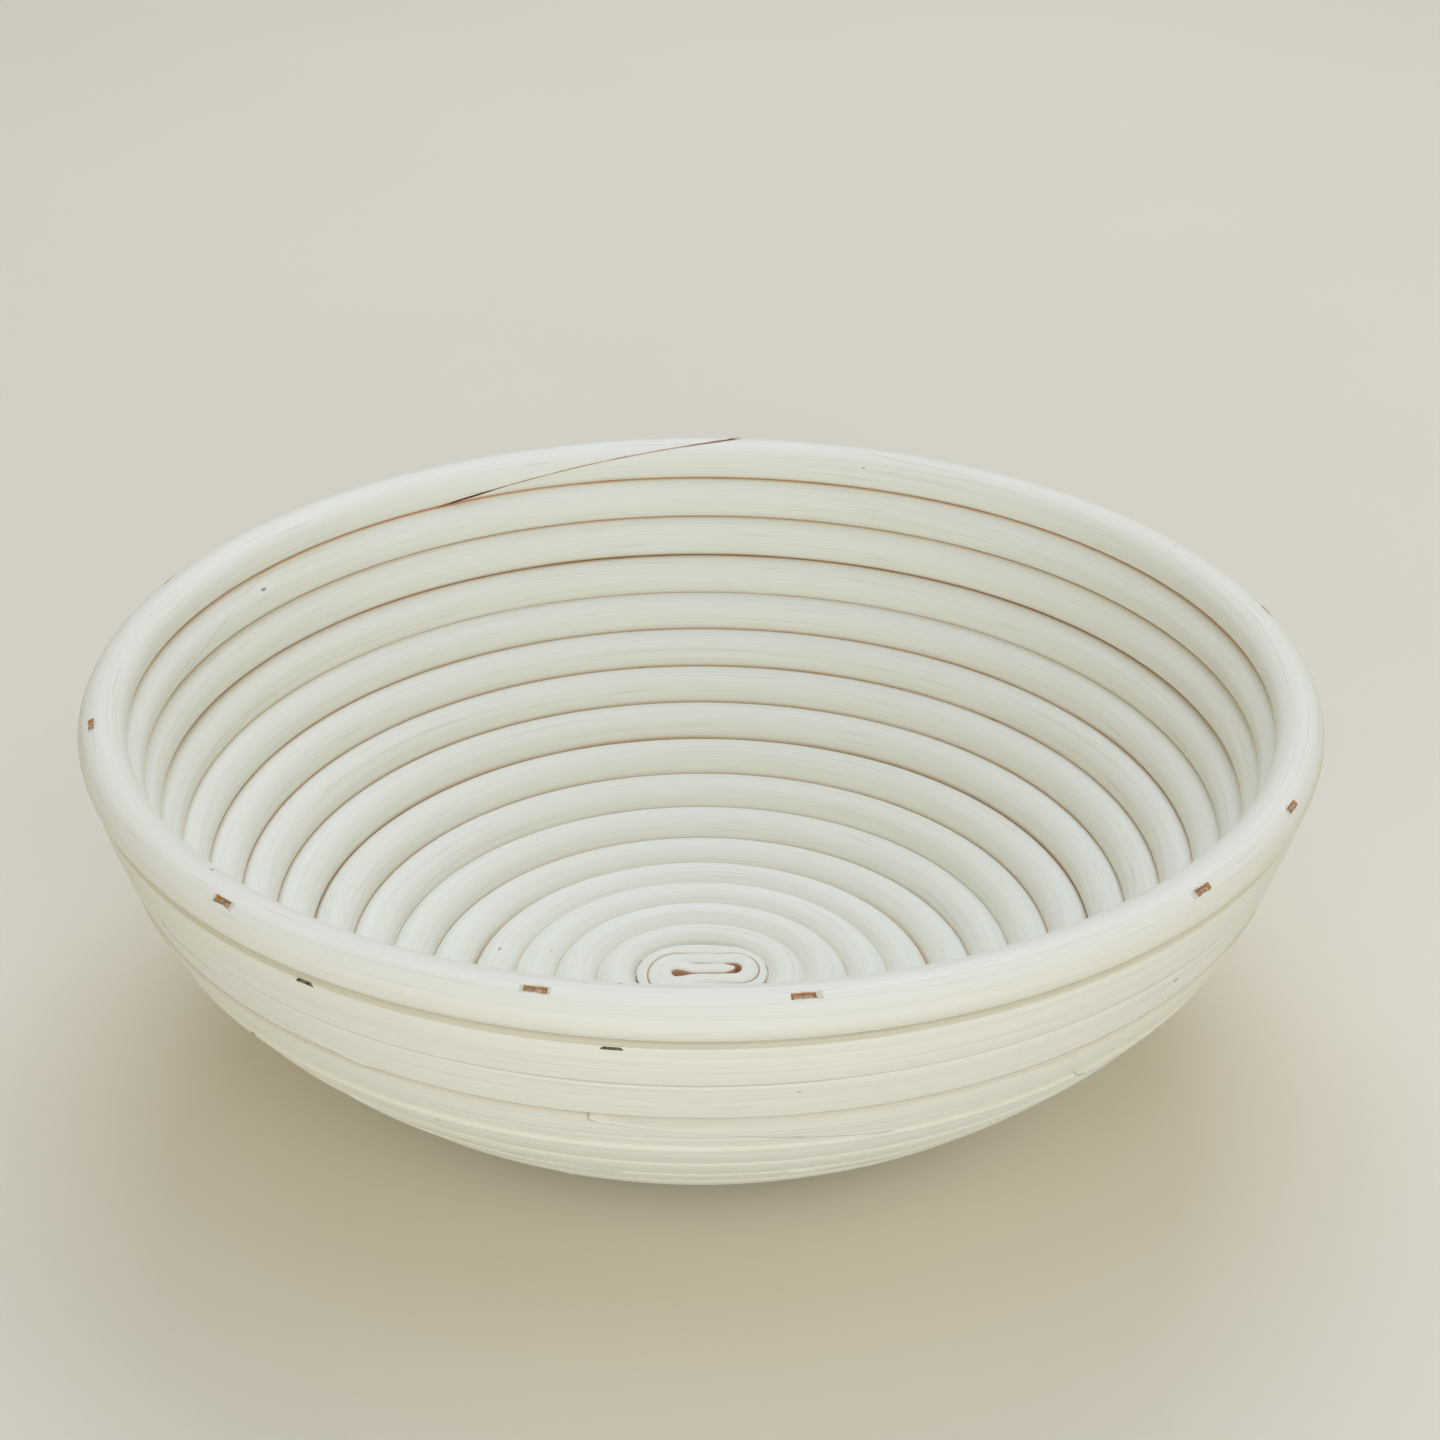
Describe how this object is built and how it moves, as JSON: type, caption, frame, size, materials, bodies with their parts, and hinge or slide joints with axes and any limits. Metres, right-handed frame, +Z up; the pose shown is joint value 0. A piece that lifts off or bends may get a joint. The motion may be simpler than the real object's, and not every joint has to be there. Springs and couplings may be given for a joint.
{
  "type": "banneton basket",
  "caption": "Round proofing basket for bread dough: hoops of cane laid one on another around a rolled centre and stapled together.",
  "frame": {"origin": "on the basket's axis, in the plane it stands on", "axes": "+Z up, along the basket's axis and out of its mouth; -Y to the front, +X to the right as seen from the front"},
  "size_m": [0.2496, 0.2496, 0.083],
  "materials": {
    "bleached_cane": "matt, bare",
    "split_cane": "matt, bare",
    "staple_wire": "dull, browned"
  },
  "bodies": {
    "root": {"base_1_staple_1": "staple_wire", "base_1_staple_2": "staple_wire", "base_2_staple_1": "staple_wire", "base_2_staple_2": "staple_wire", "base_3_staple_1": "staple_wire", "base_3_staple_2": "staple_wire", "base_4_staple_1": "staple_wire", "base_4_staple_2": "staple_wire", "base_hoop_1": "bleached_cane", "base_hoop_2": "bleached_cane", "base_hoop_3": "bleached_cane", "base_hoop_4": "bleached_cane", "centre_roll": "split_cane", "rim_hoop": "bleached_cane", "rim_staple_1": "staple_wire", "rim_staple_10": "staple_wire", "rim_staple_11": "staple_wire", "rim_staple_12": "staple_wire", "rim_staple_2": "staple_wire", "rim_staple_3": "staple_wire", "rim_staple_4": "staple_wire", "rim_staple_5": "staple_wire", "rim_staple_6": "staple_wire", "rim_staple_7": "staple_wire", "rim_staple_8": "staple_wire", "rim_staple_9": "staple_wire", "wall_01_staple_1": "staple_wire", "wall_01_staple_2": "staple_wire", "wall_02_staple_1": "staple_wire", "wall_02_staple_2": "staple_wire", "wall_03_staple_1": "staple_wire", "wall_03_staple_2": "staple_wire", "wall_04_staple_1": "staple_wire", "wall_04_staple_2": "staple_wire", "wall_05_staple_1": "staple_wire", "wall_05_staple_2": "staple_wire", "wall_06_staple_1": "staple_wire", "wall_06_staple_2": "staple_wire", "wall_07_staple_1": "staple_wire", "wall_07_staple_2": "staple_wire", "wall_08_staple_1": "staple_wire", "wall_08_staple_2": "staple_wire", "wall_09_staple_1": "staple_wire", "wall_09_staple_2": "staple_wire", "wall_10_staple_1": "staple_wire", "wall_10_staple_2": "staple_wire", "wall_11_staple_1": "staple_wire", "wall_11_staple_2": "staple_wire", "wall_hoop_01": "bleached_cane", "wall_hoop_02": "bleached_cane", "wall_hoop_03": "bleached_cane", "wall_hoop_04": "bleached_cane", "wall_hoop_05": "bleached_cane", "wall_hoop_06": "bleached_cane", "wall_hoop_07": "bleached_cane", "wall_hoop_08": "bleached_cane", "wall_hoop_09": "bleached_cane", "wall_hoop_10": "bleached_cane", "wall_hoop_11": "bleached_cane"}
  },
  "joints": []
}
